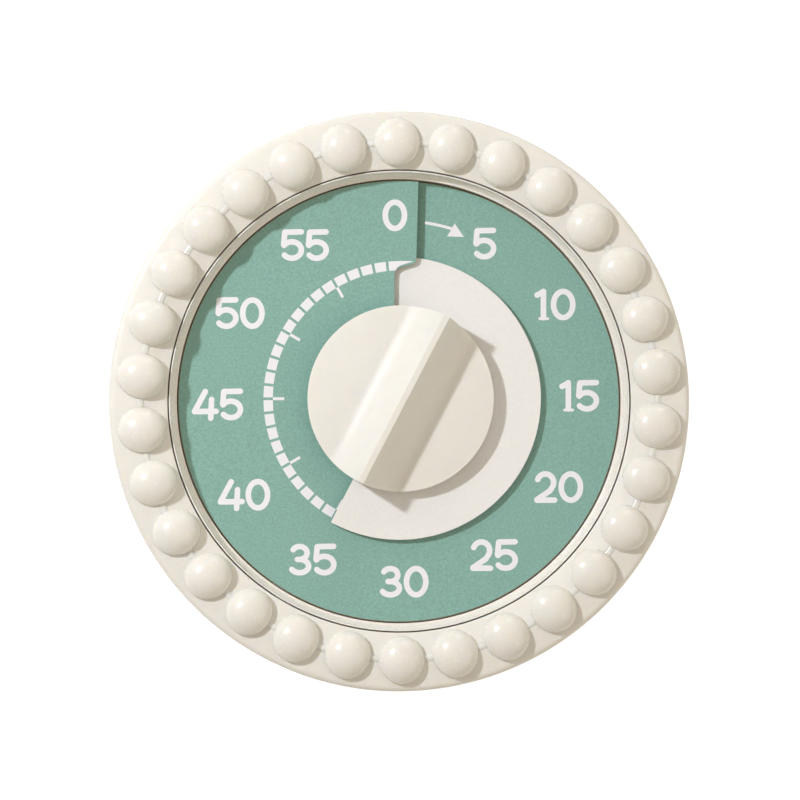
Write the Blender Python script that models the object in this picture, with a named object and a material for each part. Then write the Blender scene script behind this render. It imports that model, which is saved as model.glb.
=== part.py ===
"""Mechanical kitchen timer with a pearl-beaded bezel and a rising time disc.

The timer lies on its back: +Z is the dial's normal, +Y points to 12 o'clock, and the
origin is the centre of the back face.  Lengths below are millimetres until they reach
a mesh or a location, where MM turns them into metres.  Dial angles run clockwise from
12 o'clock; plan angles run anticlockwise from +X, as in mathematics.
"""

import math

import bmesh
import bpy
from mathutils import Matrix

MM = 0.001
FULL_TURN = 2 * math.pi
GAP = 0.3

# Case, bezel and the rings around the dial.
CASE_RADIUS = 43.0
SKIRT_WALL = 1.5
CASE_WALL_RADIUS = 41.2
CASE_BORE_RADIUS = 39.3
FLANGE_CREST_Z = 28.5
FLANGE_INNER_DROP = 0.7
FLANGE_UNDERSIDE_Z = 26.1
SKIRT_FOOT_Z = 18.5
BEZEL_BORE_RADIUS = 34.3
BEAD_COUNT = 30
BEAD_CIRCLE_RADIUS = 38.27
BEAD_RADIUS = 3.42
BEAD_HEIGHT = 2.45
TRIM_LIP_RADIUS = 33.05
TRIM_RIM_DEPTH = 0.8
TRIM_STEP_DEPTH = 1.9
FRONT_WALL_Z = (21.2, 22.4)
COVER_THICKNESS = 2.0
COVER_RADIUS = 38.6
BOSS_CIRCLE_RADIUS = 36.2
BOSS_RADIUS = 3.0
BOSS_ANGLES = (60, 180, 300)
BOSS_HOLE = (1.4, 10.0)
PLATE_BOSS_RADIUS = 2.4
PLATE_BOSS_HOLE = (1.3, 21.6)

# Screws as (head radius, shank radius, shank end z).
COVER_SCREW = (1.8, 1.1, 9.0)
COVER_SCREW_HEAD_Z = (0.2, 0.8)
PLATE_SCREW = (1.9, 1.0, 21.3)
SCREW_SLOT_DEPTH = 0.35
SCREW_SLOT_HALF_WIDTH = 0.3
COUNTERBORE = (2.1, 1.1)

# Dial and time disc: two helical sheets of the same pitch.
PITCH = 1.35
DIAL_LOW_Z = 23.65
DIAL_SHEET = 0.3
DIAL_RIM_RADIUS = 32.9
DIAL_BORE_RADIUS = 6.0
STEP_RADIUS = 20.3
OUTER_SLIT_X = 2.75
INNER_SLIT_X = -0.75
HIDDEN_LAP_X = -2.5
DISC_LIFT = 0.85
DISC_SHEET = 0.2
DISC_RADIUS = 21.2
HUB_RADIUS = 5.6
SETTING = math.radians(208.5)

# Knob and main arbor.
KNOB_RADIUS = 13.8
KNOB_UNDERSIDE_Z = 26.3
KNOB_RIM_Z = 27.25
RIDGE_TOP_Z = 32.6
RIDGE_HALF_WIDTH = 0.45
RIDGE_OFFSET = -0.42
RIDGE_FLANK = 5.6
RIDGE_HOLLOW = 1.3
RIDGE_ANGLE = math.radians(207.4)
ARBOR_RADIUS = 2.2
ARBOR_FLAT = 1.6
TANG_HALF_WIDTH = 1.0
TANG_HALF_LENGTH = 2.0
TANG_TOP_Z = 28.2

# Movement: plates, pillars and the wheel layers between them.
PLATE_RADIUS = 30.5
FRONT_PLATE_Z = (18.6, 19.6)
BACK_PLATE_Z = (9.4, 10.4)
PILLARS = ((27.0, 20), (27.0, 140), (28.0, 320))
PLATE_SCREWS = ((28.0, 80), (28.0, 175), (28.0, 350))
PRESSURE_ANGLE = math.radians(25)
MAIN_TEETH, MAIN_MODULE = 60, 0.55
SECOND_TEETH, SECOND_MODULE = 48, 0.5
THIRD_TEETH, THIRD_MODULE = 48, 0.45
PINION_LEAVES = 12
ESCAPE_TEETH, ESCAPE_RADIUS = 15, 6.0
PIVOT_RADIUS = 0.5
TRAIN_ARBOR_RADIUS = 0.9
MAIN_WHEEL_Z = 16.6
RATCHET_Z = 15.5
CAM_Z = 14.4
SECOND_WHEEL_Z = 14.4
THIRD_WHEEL_Z = 12.3
ESCAPE_WHEEL_Z = 14.6
ANCHOR_Z = 15.9
WHEEL_THICKNESS = 0.9

# Distances of the train's arbors from the main arbor.
THIRD_ARBOR_DISTANCE = 24.0
ESCAPE_ARBOR_DISTANCE = 23.0
PALLET_ARBOR_DISTANCE = 24.0
SECOND_ARBOR_ANGLE = math.radians(200)
PALLET_REACH = 9.6
PIN_CIRCLE_RADIUS = 6.9
PIN_SPREAD = math.radians(34)

# Mainspring, click, strike cam, hammer and bell.
SPRING_Z = (11.0, 13.8)
SPRING_RADII = (2.3, 10.2)
SPRING_TURNS = 5
SPRING_STRIP = 0.35
RATCHET_TEETH, RATCHET_RADIUS = 16, 5.0
CAM_RADIUS = 5.5
CAM_REST = math.radians(80)
HAMMER_ARBOR_DISTANCE = 18.5
HAMMER_HEAD_RADIUS = 1.8
HAMMER_HEAD = (20.0, -30)
STRIKE_ARM_Z = 8.65
BELL_RADIUS = 27.0
BELL_Z = (3.6, 8.4)
BELL_WALL = 0.8
BELL_CROWN_RADIUS = 5.0
BELL_HOLE_RADIUS = 1.4
BELL_POST_RADIUS = 3.0
BELL_POST_TOP_Z = 8.9
BELL_SCREW = (2.8, 1.0, 7.8)

ROUND = 48
SMALL_ROUND = 12


def clear_scene():
    for obj in list(bpy.data.objects):
        bpy.data.objects.remove(obj, do_unlink=True)


def make_material(name, colour, roughness, metallic=0.0):
    material = bpy.data.materials.new(name)
    material.use_nodes = True
    shader = material.node_tree.nodes["Principled BSDF"]
    shader.inputs["Base Color"].default_value = (*colour, 1.0)
    shader.inputs["Roughness"].default_value = roughness
    shader.inputs["Metallic"].default_value = metallic
    return material


def polar(radius, degrees):
    """A point in plan from its distance to the main arbor and its plan angle."""
    angle = math.radians(degrees)
    return radius * math.cos(angle), radius * math.sin(angle)


def dial_point(radius, angle):
    """A point in plan from its radius and its clockwise dial angle."""
    return radius * math.sin(angle), radius * math.cos(angle)


def make_object(name, bm, material, at=(0, 0, 0), turn=0.0):
    """Close a bmesh in millimetres into a named object, placed at a point in millimetres."""
    bmesh.ops.remove_doubles(bm, verts=bm.verts, dist=1e-5)
    bmesh.ops.recalc_face_normals(bm, faces=bm.faces)
    bmesh.ops.scale(bm, vec=(MM, MM, MM), verts=bm.verts)
    mesh = bpy.data.meshes.new(name)
    bm.to_mesh(mesh)
    bm.free()
    mesh.shade_smooth()
    mesh.set_sharp_from_angle(angle=math.radians(35))
    obj = bpy.data.objects.new(name, mesh)
    bpy.context.scene.collection.objects.link(obj)
    obj.location = [value * MM for value in at]
    obj.rotation_euler.z = turn
    if material:
        mesh.materials.append(material)
    return obj


def add_turned(bm, profile, segments=ROUND):
    """Spin a closed (radius, z) profile around the Z axis."""
    verts = [bm.verts.new((radius, 0, z)) for radius, z in profile]
    edges = [bm.edges.new((a, b)) for a, b in zip(verts, verts[1:] + verts[:1])
             if a.co.x > 0 or b.co.x > 0]
    bmesh.ops.spin(bm, geom=verts + edges, cent=(0, 0, 0), axis=(0, 0, 1),
                   angle=FULL_TURN, steps=segments, use_merge=True)
    return bm


def turned(name, profile, material, at=(0, 0, 0), turn=0.0, segments=ROUND):
    return make_object(name, add_turned(bmesh.new(), profile, segments), material, at, turn)


def shaft_profile(steps):
    """A solid shaft's profile from (radius, lower z, upper z) steps, bottom first."""
    profile = [(0, steps[0][1])]
    for radius, low, high in steps:
        profile += [(radius, low), (radius, high)]
    return profile + [(0, steps[-1][2])]


def add_prism(bm, outline, low, high):
    """Raise a closed plan outline from one height to another."""
    face = bm.faces.new([bm.verts.new((x, y, low)) for x, y in outline])
    raised = bmesh.ops.extrude_face_region(bm, geom=[face])["geom"]
    corners = [item for item in raised if isinstance(item, bmesh.types.BMVert)]
    bmesh.ops.translate(bm, vec=(0, 0, high - low), verts=corners)
    return bm


def prism(name, outline, low, high, material, at=(0, 0), turn=0.0):
    bm = add_prism(bmesh.new(), outline, 0, high - low)
    return make_object(name, bm, material, (*at, low), turn)


def circle(radius, segments=SMALL_ROUND, centre=(0, 0)):
    return [(centre[0] + radius * math.cos(FULL_TURN * i / segments),
             centre[1] + radius * math.sin(FULL_TURN * i / segments)) for i in range(segments)]


def make_cutter(name, bm):
    cutter = make_object(name, bm, None)
    cutter.hide_render = True
    cutter.display_type = "WIRE"
    return cutter


def add_boolean(obj, other, operation):
    modifier = obj.modifiers.new(other.name, "BOOLEAN")
    modifier.operation = operation
    modifier.object = other


def drill(obj, holes):
    """Cut round holes: each is (x, y, radius, low z, high z) in the timer's own frame."""
    bm = bmesh.new()
    for x, y, radius, low, high in holes:
        add_prism(bm, circle(radius, centre=(x, y)), low, high)
    add_boolean(obj, make_cutter(obj.name + "_holes", bm), "DIFFERENCE")


def parent_to_axis(name, at, children):
    """Hold a moving group by an empty that stands on the group's axis."""
    axis = bpy.data.objects.new(name, None)
    axis.empty_display_size = 5 * MM
    axis.location = (at[0] * MM, at[1] * MM, 0)
    bpy.context.scene.collection.objects.link(axis)
    bpy.context.view_layer.update()
    for child in children:
        child.parent = axis
        child.matrix_parent_inverse = axis.matrix_world.inverted()


# ---------------------------------------------------------------- case and bezel

def make_bezel(material):
    """Flange with a low tent section and a skirt, crowned by a ring of pearl beads."""
    skirt_bore = CASE_RADIUS - SKIRT_WALL
    profile = [
        (BEZEL_BORE_RADIUS, FLANGE_UNDERSIDE_Z),
        (skirt_bore, FLANGE_UNDERSIDE_Z),
        (skirt_bore, SKIRT_FOOT_Z),
        (CASE_RADIUS, SKIRT_FOOT_Z),
        (CASE_RADIUS, FLANGE_CREST_Z - 1.2),
        (CASE_RADIUS - 0.6, FLANGE_CREST_Z - 0.4),
        (BEAD_CIRCLE_RADIUS, FLANGE_CREST_Z),
        (BEZEL_BORE_RADIUS, FLANGE_CREST_Z - FLANGE_INNER_DROP),
    ]
    bezel = turned("bezel", profile, material, segments=60)
    beads = bmesh.new()
    flatten = Matrix.Diagonal((1, 1, BEAD_HEIGHT / BEAD_RADIUS, 1))
    for index in range(BEAD_COUNT):
        x, y = dial_point(BEAD_CIRCLE_RADIUS, FULL_TURN * index / BEAD_COUNT)
        place = Matrix.Translation((x, y, FLANGE_CREST_Z)) @ flatten
        bead = bmesh.new()
        bmesh.ops.create_uvsphere(bead, u_segments=8, v_segments=6, radius=BEAD_RADIUS, matrix=place)
        seat = (x, y, FLANGE_CREST_Z - 1.0)
        cut = bmesh.ops.bisect_plane(bead, geom=bead.verts[:] + bead.edges[:] + bead.faces[:],
                                     plane_co=seat, plane_no=(0, 0, -1), clear_outer=True)
        rim = [item for item in cut["geom_cut"] if isinstance(item, bmesh.types.BMEdge)]
        bmesh.ops.contextual_create(bead, geom=rim)
        spare = bpy.data.meshes.new("bead")
        bead.to_mesh(spare)
        bead.free()
        beads.from_mesh(spare)
        bpy.data.meshes.remove(spare)
    add_boolean(bezel, make_cutter("bezel_beads", beads), "UNION")
    return bezel


def make_trim_ring(material):
    """Ring between bezel and dial: a thin upright rim, then a band that slopes down to the dial."""
    outer = BEZEL_BORE_RADIUS - 0.2
    rim_z = FLANGE_CREST_Z - TRIM_RIM_DEPTH
    profile = [
        (outer, FRONT_WALL_Z[1] + GAP),
        (outer, rim_z),
        (outer - 0.2, rim_z),
        (outer - 0.25, FLANGE_CREST_Z - TRIM_STEP_DEPTH),
        (TRIM_LIP_RADIUS, DIAL_LOW_Z + PITCH + 0.6),
        (TRIM_LIP_RADIUS, FRONT_WALL_Z[1] + GAP),
    ]
    return turned("trim_ring", profile, material)


def make_case(material):
    """Cup open at the back: side wall, front wall under the dial, and the screw bosses."""
    profile = [
        (CASE_BORE_RADIUS - 0.4, 0.0),
        (CASE_RADIUS - 2.4, 0.0),
        (CASE_RADIUS - 1.7, 0.8),
        (CASE_RADIUS - 0.8, SKIRT_FOOT_Z - GAP),
        (CASE_WALL_RADIUS, SKIRT_FOOT_Z - GAP),
        (CASE_WALL_RADIUS, FLANGE_UNDERSIDE_Z - GAP),
        (CASE_BORE_RADIUS + GAP, FLANGE_UNDERSIDE_Z - GAP),
        (CASE_BORE_RADIUS + GAP, FRONT_WALL_Z[1]),
        (3.0, FRONT_WALL_Z[1]),
        (3.0, FRONT_WALL_Z[0]),
        (CASE_BORE_RADIUS, FRONT_WALL_Z[0]),
    ]
    case = turned("case", profile, material)
    bosses = bmesh.new()
    holes = []
    for angle in BOSS_ANGLES:
        x, y = polar(BOSS_CIRCLE_RADIUS, angle)
        add_prism(bosses, circle(BOSS_RADIUS, centre=(x, y)), COVER_THICKNESS + GAP, FRONT_WALL_Z[0] + 0.5)
        radius, end = BOSS_HOLE
        holes.append((x, y, radius, COVER_THICKNESS, end))
    for place in PLATE_SCREWS:
        x, y = polar(*place)
        outline = circle(PLATE_BOSS_RADIUS, centre=(x, y))
        add_prism(bosses, outline, FRONT_PLATE_Z[1] + GAP, FRONT_WALL_Z[0] + 0.5)
        radius, end = PLATE_BOSS_HOLE
        holes.append((x, y, radius, FRONT_PLATE_Z[1], end))
    add_boolean(case, make_cutter("case_bosses", bosses), "UNION")
    drill(case, holes)
    return case


def make_back_cover(material):
    """Flat disc that closes the case's back, with a counterbored hole at each screw."""
    profile = [
        (0, 0),
        (COVER_RADIUS, 0),
        (COVER_RADIUS, COVER_THICKNESS),
        (0, COVER_THICKNESS),
    ]
    cover = turned("back_cover", profile, material)
    holes = []
    for angle in BOSS_ANGLES:
        x, y = polar(BOSS_CIRCLE_RADIUS, angle)
        holes.append((x, y, 1.5, -1, COVER_THICKNESS + 1))
    drill(cover, holes)
    heads = bmesh.new()
    for x, y, *_ in holes:
        radius, depth = COUNTERBORE
        add_prism(heads, circle(radius, centre=(x, y)), -1, depth)
    add_boolean(cover, make_cutter("back_cover_counterbores", heads), "DIFFERENCE")
    return cover


def make_screw(name, at, head_z, sizes, material):
    """Slotted screw: head between the two head_z values, outer face first."""
    outer, seat = head_z
    head_radius, shank_radius, shank_end_z = sizes
    profile = [(0, outer), (head_radius, outer), (head_radius, seat), (shank_radius, seat),
               (shank_radius, shank_end_z), (0, shank_end_z)]
    screw = turned(name, profile, material, (*at, 0), segments=12)
    slot_floor = outer + SCREW_SLOT_DEPTH * (1 if seat > outer else -1)
    half_length = head_radius + 1
    slot = bmesh.new()
    outline = [(at[0] + x * half_length, at[1] + y * SCREW_SLOT_HALF_WIDTH)
               for x, y in ((-1, -1), (1, -1), (1, 1), (-1, 1))]
    low, high = sorted((slot_floor, 2 * outer - slot_floor))
    add_prism(slot, outline, low, high)
    add_boolean(screw, make_cutter(name + "_slot", slot), "DIFFERENCE")
    return screw


def make_case_screws(material):
    for number, angle in enumerate(BOSS_ANGLES, 1):
        place = polar(BOSS_CIRCLE_RADIUS, angle)
        make_screw(f"cover_screw_{number}", place, COVER_SCREW_HEAD_Z, COVER_SCREW, material)
    head = (FRONT_PLATE_Z[0] - 1.1, FRONT_PLATE_Z[0] - GAP)
    for number, place in enumerate(PLATE_SCREWS, 1):
        make_screw(f"movement_screw_{number}", polar(*place), head, PLATE_SCREW, material)


# ---------------------------------------------------------------- dial and time disc

def helix_z(angle):
    """Height of the middle of the dial's sheet at a clockwise angle from the slit."""
    return DIAL_LOW_Z + PITCH * angle / FULL_TURN


def add_helical_sheet(bm, radii, columns, thickness, lift=0.0):
    """A sheet whose height follows the helix: columns(radius) gives each row's angles."""
    half = thickness / 2
    rows = []
    for radius in radii:
        row = []
        for angle in columns(radius):
            x, y = dial_point(radius, angle)
            z = helix_z(angle) + lift
            row.append((bm.verts.new((x, y, z + half)), bm.verts.new((x, y, z - half))))
        rows.append(row)
    last_row, last_column = len(rows) - 1, len(rows[0]) - 1
    for side in (0, 1):
        for i in range(last_row):
            for j in range(last_column):
                bm.faces.new((rows[i][j][side], rows[i][j + 1][side],
                              rows[i + 1][j + 1][side], rows[i + 1][j][side]))
    border = [(0, j) for j in range(last_column)]
    border += [(i, last_column) for i in range(last_row)]
    border += [(last_row, j) for j in range(last_column, 0, -1)]
    border += [(i, 0) for i in range(last_row, 0, -1)]
    for (i, j), (k, m) in zip(border, border[1:] + border[:1]):
        bm.faces.new((rows[i][j][0], rows[k][m][0], rows[k][m][1], rows[i][j][1]))
    return bm


def dial_columns(radius):
    """The dial starts under its own high end and stops at the slit, which steps at STEP_RADIUS."""
    start = math.asin(HIDDEN_LAP_X / radius)
    edge = OUTER_SLIT_X if radius > STEP_RADIUS else INNER_SLIT_X
    end = FULL_TURN + math.asin(edge / radius)
    return [start] + [math.radians(angle) for angle in range(0, 345, 8)] + [math.radians(350)] + [end]


def make_dial(material):
    """One-turn helical face on a rim wall whose foot is flat."""
    radii = (DIAL_BORE_RADIUS, STEP_RADIUS - 0.15, STEP_RADIUS + 0.15, DIAL_RIM_RADIUS - 0.1)
    dial = make_object("dial", add_helical_sheet(bmesh.new(), radii, dial_columns, DIAL_SHEET), material)
    wall = bmesh.new()
    angles = [0.75] + list(range(8, 353, 8)) + [359.25]
    rings = []
    for angle in map(math.radians, angles):
        top = helix_z(angle)
        foot = FRONT_WALL_Z[1] + GAP
        inner = dial_point(DIAL_RIM_RADIUS - 0.7, angle)
        outer = dial_point(DIAL_RIM_RADIUS, angle)
        rings.append([wall.verts.new((*inner, foot)), wall.verts.new((*outer, foot)),
                      wall.verts.new((*outer, top)), wall.verts.new((*inner, top))])
    for ring, following in zip(rings, rings[1:] + rings[:1]):
        for i in range(4):
            wall.faces.new((ring[i], ring[i - 1], following[i - 1], following[i]))
    add_boolean(dial, make_cutter("dial_rim", wall), "UNION")
    return dial


def d_outline(radius, flat):
    """Round section with one flat, on its +X side."""
    reach = math.acos(flat / radius)
    steps = 12
    return [(radius * math.cos(reach + (FULL_TURN - 2 * reach) * i / steps),
             radius * math.sin(reach + (FULL_TURN - 2 * reach) * i / steps)) for i in range(steps + 1)]


def make_time_disc(material):
    """One-turn helical disc on a hub that slides along the arbor's flat."""
    steps = 45
    columns = [SETTING - FULL_TURN + FULL_TURN * i / steps for i in range(steps + 1)]
    low = helix_z(columns[0]) + DISC_LIFT - DISC_SHEET / 2
    high = helix_z(columns[-1]) + DISC_LIFT + DISC_SHEET / 2
    sheet = add_helical_sheet(bmesh.new(), (5.0, DISC_RADIUS), lambda radius: columns,
                              DISC_SHEET, DISC_LIFT)
    disc = make_object("time_disc", sheet, material)
    hub = add_prism(bmesh.new(), circle(HUB_RADIUS, 24), low, high)
    add_boolean(disc, make_cutter("time_disc_hub", hub), "UNION")
    bore = add_prism(bmesh.new(), d_outline(ARBOR_RADIUS + 0.1, ARBOR_FLAT + 0.1), low - 1, high + 1)
    add_boolean(disc, make_cutter("time_disc_bore", bore), "DIFFERENCE")
    return disc


# ---------------------------------------------------------------- knob and main arbor

def ridge_section():
    """Section across the grip: narrow flat top beside the middle, hollowed flanks, thin disc."""
    steps = 7
    height = RIDGE_TOP_Z - KNOB_RIM_Z
    flank = []
    for i in range(steps + 1):
        share = i / steps
        flank.append((RIDGE_HALF_WIDTH + RIDGE_FLANK * share,
                      KNOB_RIM_Z + height * (1 - share) ** RIDGE_HOLLOW))
    edge = KNOB_RADIUS + 2
    base = [(-edge, KNOB_RIM_Z), (-edge, KNOB_UNDERSIDE_Z), (edge, KNOB_UNDERSIDE_Z), (edge, KNOB_RIM_Z)]
    right = [(RIDGE_OFFSET + x, z) for x, z in reversed(flank)]
    return base + right + [(RIDGE_OFFSET - x, z) for x, z in flank]


def make_knob(material):
    """Round blank cut to the ridge's section, with a socket for the arbor's tang."""
    blank = [(0, KNOB_UNDERSIDE_Z), (KNOB_RADIUS - 0.2, KNOB_UNDERSIDE_Z),
             (KNOB_RADIUS, KNOB_UNDERSIDE_Z + 0.2), (KNOB_RADIUS, RIDGE_TOP_Z + 1), (0, RIDGE_TOP_Z + 1)]
    knob = turned("knob", blank, material, turn=-RIDGE_ANGLE)
    section = bmesh.new()
    reach = KNOB_RADIUS + 2
    face = section.faces.new([section.verts.new((x, -reach, z)) for x, z in ridge_section()])
    raised = bmesh.ops.extrude_face_region(section, geom=[face])["geom"]
    ends = [item for item in raised if isinstance(item, bmesh.types.BMVert)]
    bmesh.ops.translate(section, vec=(0, 2 * reach, 0), verts=ends)
    bar = make_cutter("knob_section", section)
    bar.rotation_euler.z = -RIDGE_ANGLE
    add_boolean(knob, bar, "INTERSECT")
    socket = make_cutter("knob_socket", add_tang(bmesh.new(), 0.2, TANG_TOP_Z + GAP))
    socket.rotation_euler.z = -RIDGE_ANGLE
    add_boolean(knob, socket, "DIFFERENCE")
    return knob


def add_tang(bm, play, top):
    width = TANG_HALF_WIDTH + play
    length = TANG_HALF_LENGTH + play
    outline = [(-width, -length), (width, -length), (width, length), (-width, length)]
    return add_prism(bm, outline, KNOB_UNDERSIDE_Z - 1, top)


def make_main_arbor(material):
    """Steel arbor: pivots in both plates, a flat for the time disc and a tang for the knob."""
    steps = [(1.2, 9.2, 10.7), (1.7, 10.7, 18.2), (ARBOR_RADIUS, 18.2, 20.6)]
    arbor = turned("main_arbor", shaft_profile(steps), material, segments=20)
    upper = add_prism(bmesh.new(), d_outline(ARBOR_RADIUS, ARBOR_FLAT), 20.0, KNOB_UNDERSIDE_Z - 0.1)
    add_boolean(arbor, make_cutter("main_arbor_flat", upper), "UNION")
    tang = make_cutter("main_arbor_tang", add_tang(bmesh.new(), 0, TANG_TOP_Z))
    tang.rotation_euler.z = -RIDGE_ANGLE
    add_boolean(arbor, tang, "UNION")
    return arbor


# ---------------------------------------------------------------- movement frame

def make_plates(material, train):
    """Front and back plates, drilled for every pivot, pillar and screw."""
    profile = [(0, 0), (PLATE_RADIUS, 0), (PLATE_RADIUS, 1.0), (0, 1.0)]
    for name, (low, high), centre_bore in (("movement_front_plate", FRONT_PLATE_Z, ARBOR_RADIUS + 0.1),
                                           ("movement_back_plate", BACK_PLATE_Z, 1.3)):
        plate = turned(name, profile, material, (0, 0, low), segments=36)
        holes = [(0, 0, centre_bore, low - 1, high + 1)]
        holes += [(x, y, PIVOT_RADIUS + 0.1, low - 1, high + 1) for x, y in train]
        holes += [(*polar(*place), 1.25, low - 1, high + 1) for place in PILLARS]
        if name == "movement_front_plate":
            holes += [(*polar(*place), 1.3, low - 1, high + 1) for place in PLATE_SCREWS]
        else:
            x, y = hammer_arbor_point()
            holes.append((x, y, 1.1, low - 1, high + 1))
            x, y = spring_post_point()
            holes.append((x, y, 0.85, low - 1, high + 1))
        drill(plate, holes)


def make_pillars(material):
    """Shouldered pillars whose riveted ends pass through both plates."""
    steps = [(1.0, BACK_PLATE_Z[0] - 0.2, BACK_PLATE_Z[1] + 0.2),
             (1.8, BACK_PLATE_Z[1] + 0.2, FRONT_PLATE_Z[0] - 0.2),
             (1.0, FRONT_PLATE_Z[0] - 0.2, FRONT_PLATE_Z[1] + 0.2)]
    for number, place in enumerate(PILLARS, 1):
        turned(f"pillar_{number}", shaft_profile(steps), material, (*polar(*place), 0), segments=12)


# ---------------------------------------------------------------- wheels and pinions

def involute(angle):
    return math.tan(angle) - angle


def gear_outline(teeth, module, flank_points):
    """Involute tooth outline with a tooth centred on local +X and working clearance."""
    pitch_radius = teeth * module / 2
    base_radius = pitch_radius * math.cos(PRESSURE_ANGLE)
    root_radius = pitch_radius - 1.15 * module
    tip_radius = pitch_radius + 0.8 * module
    half_tooth = (math.pi / 2 - 0.16) / teeth
    flank = []
    for i in range(flank_points):
        radius = root_radius + (tip_radius - root_radius) * i / (flank_points - 1)
        pressure = math.acos(min(1.0, base_radius / radius))
        flank.append((radius, half_tooth + involute(PRESSURE_ANGLE) - involute(pressure)))
    outline = []
    for tooth in range(teeth):
        middle = FULL_TURN * tooth / teeth
        outline += [(radius, middle - half) for radius, half in flank]
        outline += [(radius, middle + half) for radius, half in reversed(flank)]
    return [(radius * math.cos(angle), radius * math.sin(angle)) for radius, angle in outline]


def ratchet_outline(teeth, radius, depth):
    """Saw teeth: a radial face and a sloping back."""
    outline = []
    for tooth in range(teeth):
        angle = FULL_TURN * tooth / teeth
        outline.append((radius * math.cos(angle), radius * math.sin(angle)))
        outline.append(((radius - depth) * math.cos(angle + 0.03), (radius - depth) * math.sin(angle + 0.03)))
    return outline


def bored_wheel(name, outline, low, bore, material, at=(0, 0), turn=0.0, holes=()):
    """A flat wheel with a bore on its own axis and any further (x, y, radius) holes."""
    wheel = prism(name, outline, low, low + WHEEL_THICKNESS, material, at, turn)
    holes = [(*at, bore), *holes]
    drill(wheel, [(*hole, low - 1, low + WHEEL_THICKNESS + 1) for hole in holes])
    return wheel


def make_pinion(name, module, at, leaves_z, turn, material):
    """Arbor turned in one piece with its leaves, running in both plates."""
    steps = [(PIVOT_RADIUS, BACK_PLATE_Z[0] + 0.1, BACK_PLATE_Z[1] + 0.2),
             (TRAIN_ARBOR_RADIUS, BACK_PLATE_Z[1] + 0.2, FRONT_PLATE_Z[0] - 0.2),
             (PIVOT_RADIUS, FRONT_PLATE_Z[0] - 0.2, FRONT_PLATE_Z[1] - 0.1)]
    pinion = turned(name, shaft_profile(steps), material, (*at, 0), segments=12)
    leaf_prism = add_prism(bmesh.new(), gear_outline(PINION_LEAVES, module, 3), *leaves_z)
    leaves = make_cutter(name + "_leaves", leaf_prism)
    leaves.location = (at[0] * MM, at[1] * MM, 0)
    leaves.rotation_euler.z = turn
    add_boolean(pinion, leaves, "UNION")
    return pinion


def heading(start, end):
    return math.atan2(end[1] - start[1], end[0] - start[0])


def next_arbor(start, reach, distance):
    """The point at a given distance from the main arbor and a given reach from another arbor."""
    start_distance = math.hypot(*start)
    cosine = (start_distance ** 2 + distance ** 2 - reach ** 2) / (2 * start_distance * distance)
    angle = math.atan2(start[1], start[0]) + math.acos(cosine)
    return distance * math.cos(angle), distance * math.sin(angle)


def centre_distance(teeth, module):
    return module * (teeth + PINION_LEAVES) / 2


def train_points():
    """Arbor centres of the second, third and escape wheels and of the pallets."""
    reach = centre_distance(MAIN_TEETH, MAIN_MODULE)
    second = (reach * math.cos(SECOND_ARBOR_ANGLE), reach * math.sin(SECOND_ARBOR_ANGLE))
    third = next_arbor(second, centre_distance(SECOND_TEETH, SECOND_MODULE), THIRD_ARBOR_DISTANCE)
    escape = next_arbor(third, centre_distance(THIRD_TEETH, THIRD_MODULE), ESCAPE_ARBOR_DISTANCE)
    pallet = next_arbor(escape, PALLET_REACH, PALLET_ARBOR_DISTANCE)
    return second, third, escape, pallet


def make_train(brass, steel):
    """Three stages from the main wheel to the escape wheel, each pair in mesh at rest."""
    second, third, escape, _ = train_points()
    main_heading = heading((0, 0), second)
    second_heading = heading(second, third)
    third_heading = heading(third, escape)
    gap = math.pi / PINION_LEAVES
    outline = gear_outline(MAIN_TEETH, MAIN_MODULE, 2)
    main_wheel = bored_wheel("main_wheel", outline, MAIN_WHEEL_Z, 2.0, brass, (0, 0), main_heading,
                             [(*click_point(), 0.95)])
    second_pinion = make_pinion("second_pinion", MAIN_MODULE, second, (16.2, 17.9),
                                main_heading + math.pi + gap, steel)
    outline = gear_outline(SECOND_TEETH, SECOND_MODULE, 2)
    second_wheel = bored_wheel("second_wheel", outline, SECOND_WHEEL_Z, 1.15, brass, second, second_heading)
    third_pinion = make_pinion("third_pinion", SECOND_MODULE, third, (13.9, 15.8),
                               second_heading + math.pi + gap, steel)
    outline = gear_outline(THIRD_TEETH, THIRD_MODULE, 2)
    third_wheel = bored_wheel("third_wheel", outline, THIRD_WHEEL_Z, 1.15, brass, third, third_heading)
    escape_pinion = make_pinion("escape_pinion", THIRD_MODULE, escape, (11.8, 13.7),
                                third_heading + math.pi + gap, steel)
    outline = ratchet_outline(ESCAPE_TEETH, ESCAPE_RADIUS, 1.3)
    escape_wheel = bored_wheel("escape_wheel", outline, ESCAPE_WHEEL_Z, 1.15, brass, escape, third_heading)
    parent_to_axis("second_axis", second, (second_pinion, second_wheel))
    parent_to_axis("third_axis", third, (third_pinion, third_wheel))
    parent_to_axis("escape_axis", escape, (escape_pinion, escape_wheel))
    return main_wheel


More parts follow.
